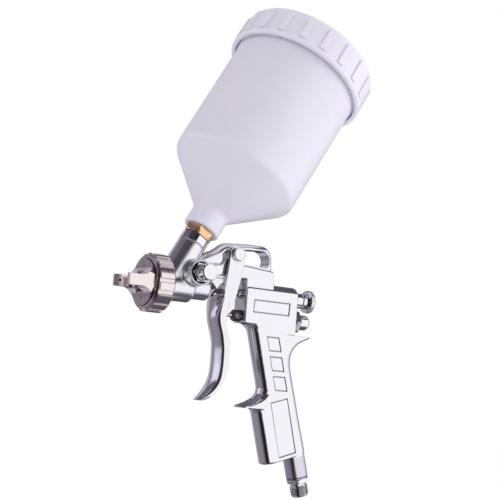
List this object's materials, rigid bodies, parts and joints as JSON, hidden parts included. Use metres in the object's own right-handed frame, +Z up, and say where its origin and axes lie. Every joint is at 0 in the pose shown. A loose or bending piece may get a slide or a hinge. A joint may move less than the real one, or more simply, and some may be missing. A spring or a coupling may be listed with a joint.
{
  "type": "spray gun",
  "caption": "Gravity-feed spray gun with a plastic paint cup, air cap with horns, trigger, needle and air valve, flow and fan knobs, hanging hook and threaded air inlet",
  "frame": {"origin": "on the axis of the air inlet thread, 0.8 mm inside its end face, at the bottom of the handle", "axes": "+Z up, the needle axis is parallel to X and the spray leaves towards -X, the side with the fan knob faces -Y"},
  "size_m": [0.1865, 0.1078, 0.3532],
  "materials": {
    "cast_chrome": "bright plated casting",
    "bright_chrome": "polished plating",
    "nickel": "polished nickel plating",
    "steel": "turned steel",
    "tip_steel": "turned steel",
    "dark_steel": "dark plated steel",
    "spring_steel": "drawn wire",
    "brass": "machined brass",
    "seal_plastic": "smooth seal plastic",
    "rubber": "black seal",
    "cup_plastic": "milky translucent",
    "lid_plastic": "milky translucent",
    "filter_plastic": "moulded white"
  },
  "bodies": {
    "gun": {"gun_body": "cast_chrome", "inlet_collar": "bright_chrome", "air_inlet_nipple": "bright_chrome", "inlet_washer": "steel", "fluid_tip": "tip_steel", "air_baffle": "brass", "needle_packing": "seal_plastic", "needle_packing_nut": "bright_chrome", "needle_bushing": "bright_chrome", "fluid_guide_sleeve": "bright_chrome", "air_valve_seat": "brass", "air_valve_packing_nut": "dark_steel", "air_valve_cap": "bright_chrome", "air_valve_washer": "steel", "fan_valve_body": "bright_chrome", "pivot_pin": "bright_chrome", "pivot_screw": "bright_chrome", "needle_spring": "spring_steel", "air_valve_spring": "spring_steel"},
    "ring": {"air_cap_ring": "nickel"},
    "cap": {"air_cap": "nickel"},
    "trigger_lever": {"trigger": "cast_chrome"},
    "needle": {"fluid_needle": "steel", "needle_collar": "bright_chrome", "needle_spring_seat": "brass"},
    "valve": {"air_valve_stem": "steel", "air_valve_seal": "rubber"},
    "flow_screw": {"fluid_screw": "steel"},
    "flow_knob": {"fluid_knob": "bright_chrome"},
    "fan_needle": {"fan_stem": "steel"},
    "fan_wheel": {"fan_knob": "bright_chrome"},
    "cup": {"paint_cup": "cup_plastic", "cup_connector": "brass", "cup_filter": "filter_plastic"},
    "lid": {"cup_lid": "lid_plastic"}
  },
  "joints": [
    {"name": "trigger_pull", "type": "hinge", "parent": "gun", "child": "trigger_lever", "pos_m": [-0.0762, 0, 0.16708], "axis": [0, -1, 0], "range_deg": [0, 12], "stiffness_Nm_per_rad": 1.5, "springref_deg": -20.05},
    {"name": "needle_slide", "type": "slide", "parent": "gun", "child": "needle", "axis": [1, 0, 0], "range_m": [0, 0.0069], "deforming": ["needle_spring"]},
    {"name": "air_valve_slide", "type": "slide", "parent": "gun", "child": "valve", "axis": [1, 0, 0], "range_m": [0, 0.009], "deforming": ["air_valve_spring"]},
    {"name": "fluid_screw_travel", "type": "slide", "parent": "gun", "child": "flow_screw", "axis": [1, 0, 0], "range_m": [0, 0.003]},
    {"name": "fluid_knob_turn", "type": "hinge", "parent": "flow_screw", "child": "flow_knob", "pos_m": [-0.0074, 0, 0.14078], "axis": [1, 0, 0], "range_deg": [0, 1080]},
    {"name": "fan_stem_travel", "type": "slide", "parent": "gun", "child": "fan_needle", "axis": [0, -1, 0], "range_m": [0, 0.002]},
    {"name": "fan_knob_turn", "type": "hinge", "parent": "fan_needle", "child": "fan_wheel", "pos_m": [-0.1098, -0.026, 0.14998], "axis": [0, -1, 0], "range_deg": [0, 720]},
    {"name": "air_cap_turn", "type": "hinge", "parent": "gun", "child": "cap", "pos_m": [-0.1414, 0, 0.14078], "axis": [1, 0, 0], "range_deg": [-90, 90]},
    {"name": "cap_ring_turn", "type": "hinge", "parent": "gun", "child": "ring", "pos_m": [-0.1354, 0, 0.14078], "axis": [1, 0, 0], "continuous": true},
    {"name": "cup_turn", "type": "hinge", "parent": "gun", "child": "cup", "pos_m": [-0.1032, 0, 0.17889], "axis": [0.5, 0, 0.866], "continuous": true},
    {"name": "lid_lift", "type": "slide", "parent": "cup", "child": "lid", "axis": [0.5, 0, 0.866], "range_m": [0, 0.06]}
  ],
  "couplings": [
    {"joint": "needle_slide", "follows": "trigger_pull", "m_per_rad": 0.0325},
    {"joint": "air_valve_slide", "follows": "trigger_pull", "m_per_rad": 0.0425},
    {"joint": "fluid_knob_turn", "follows": "fluid_screw_travel", "rad_per_m": 6283.2},
    {"joint": "fan_knob_turn", "follows": "fan_stem_travel", "rad_per_m": 6283.2}
  ]
}
